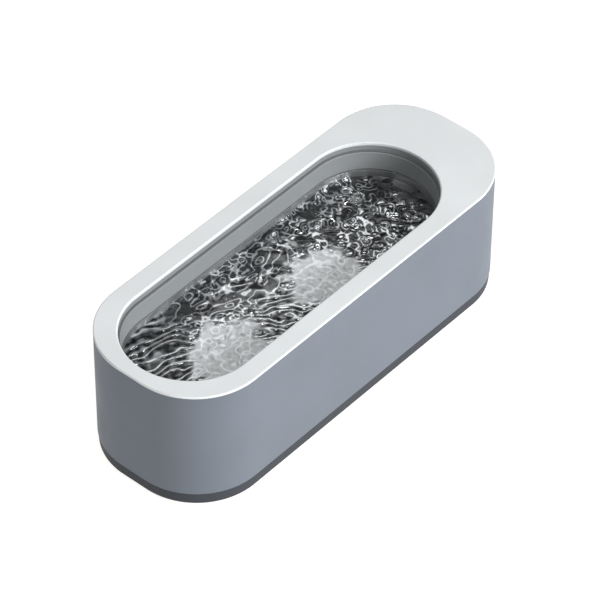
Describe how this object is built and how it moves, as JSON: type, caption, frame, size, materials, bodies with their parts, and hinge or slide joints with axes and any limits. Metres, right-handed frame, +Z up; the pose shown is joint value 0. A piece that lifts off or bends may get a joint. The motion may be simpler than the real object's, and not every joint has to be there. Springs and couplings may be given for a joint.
{
  "type": "ultrasonic jewellery cleaner",
  "caption": "Capsule-shaped ultrasonic cleaner: open steel tank in a two-tone plastic housing, with push button, charging port and battery door",
  "frame": {"origin": "on the table, under the middle of the housing", "axes": "+X along the length towards the wide blank land and the controls, +Y across, +Z up out of the tank"},
  "size_m": [0.2, 0.0748, 0.061],
  "materials": {
    "shell_plastic": "fine satin texture, blue-grey",
    "deck_plastic": "smooth satin, cool white",
    "collar_plastic": "satin, neutral grey",
    "base_plastic": "fine matt texture, dark grey",
    "tank_steel": "drawn and lightly brushed stainless",
    "seal_rubber": "matt silicone",
    "foot_rubber": "matt",
    "screw_steel": "zinc plated",
    "coupling_aluminium": "turned",
    "piezo_ceramic": "silvered ceramic",
    "cell_wrap": "printed-sleeve gloss, plain dark",
    "contact_steel": "nickel plated spring steel",
    "board_laminate": "solder mask, green",
    "ferrite": "sintered ferrite, matt",
    "winding_tape": "yellow tape over copper",
    "black_plastic": "moulded, matt",
    "capacitor_sleeve": "heat-shrunk sleeve",
    "heat_sink_aluminium": "extruded",
    "header_plastic": "natural nylon",
    "plunger_plastic": "moulded, red",
    "button_plastic": "satin, cool white",
    "light_plastic": "clear acrylic",
    "port_steel": "drawn stainless",
    "wire_silicone": "silicone insulation"
  },
  "bodies": {
    "housing": {"outer_shell": "shell_plastic", "top_deck": "deck_plastic", "tank_bezel": "collar_plastic", "deck_seal": "seal_rubber", "tank_collar": "collar_plastic", "tank_gasket": "seal_rubber", "tank": "tank_steel", "tank_screws": "screw_steel", "front_coupling_plate": "coupling_aluminium", "rear_coupling_plate": "coupling_aluminium", "front_piezo_disc": "piezo_ceramic", "rear_piezo_disc": "piezo_ceramic", "base_cover": "base_plastic", "base_screws": "screw_steel", "rubber_foot_1": "foot_rubber", "rubber_foot_2": "foot_rubber", "rubber_foot_3": "foot_rubber", "rubber_foot_4": "foot_rubber", "battery_cell_1": "cell_wrap", "battery_cell_2": "cell_wrap", "battery_cell_3": "cell_wrap", "battery_cell_4": "cell_wrap", "battery_springs": "contact_steel", "battery_contacts": "contact_steel", "control_board": "board_laminate", "board_screws": "screw_steel", "transformer_core": "ferrite", "transformer_winding": "winding_tape", "transformer_base": "black_plastic", "filter_capacitor_1": "capacitor_sleeve", "filter_capacitor_2": "capacitor_sleeve", "heat_sink": "heat_sink_aluminium", "power_transistor": "black_plastic", "filter_choke": "ferrite", "control_chip": "black_plastic", "wire_headers": "header_plastic", "switch_body": "black_plastic", "indicator_led": "light_plastic", "light_pipe": "light_plastic", "usb_socket_shell": "port_steel", "usb_tongue": "black_plastic", "front_transducer_wires": "wire_silicone", "rear_transducer_wires": "wire_silicone", "battery_wires": "wire_silicone"},
    "power_button": {"power_button": "button_plastic"},
    "switch_plunger": {"switch_plunger": "plunger_plastic"},
    "battery_door": {"battery_door": "base_plastic"}
  },
  "joints": [
    {"name": "button_press", "type": "slide", "parent": "housing", "child": "power_button", "axis": [-1, 0, 0], "range_m": [0, 0.0005], "stiffness_N_per_m": 3000},
    {"name": "plunger_press", "type": "slide", "parent": "housing", "child": "switch_plunger", "axis": [-1, 0, 0], "range_m": [0, 0.0005]},
    {"name": "battery_door_hinge", "type": "hinge", "parent": "housing", "child": "battery_door", "pos_m": [-0.0348, 0, 0.0008], "axis": [0, 1, 0], "range_deg": [0, 80]}
  ],
  "couplings": [
    {"joint": "plunger_press", "follows": "button_press", "ratio": 1}
  ]
}
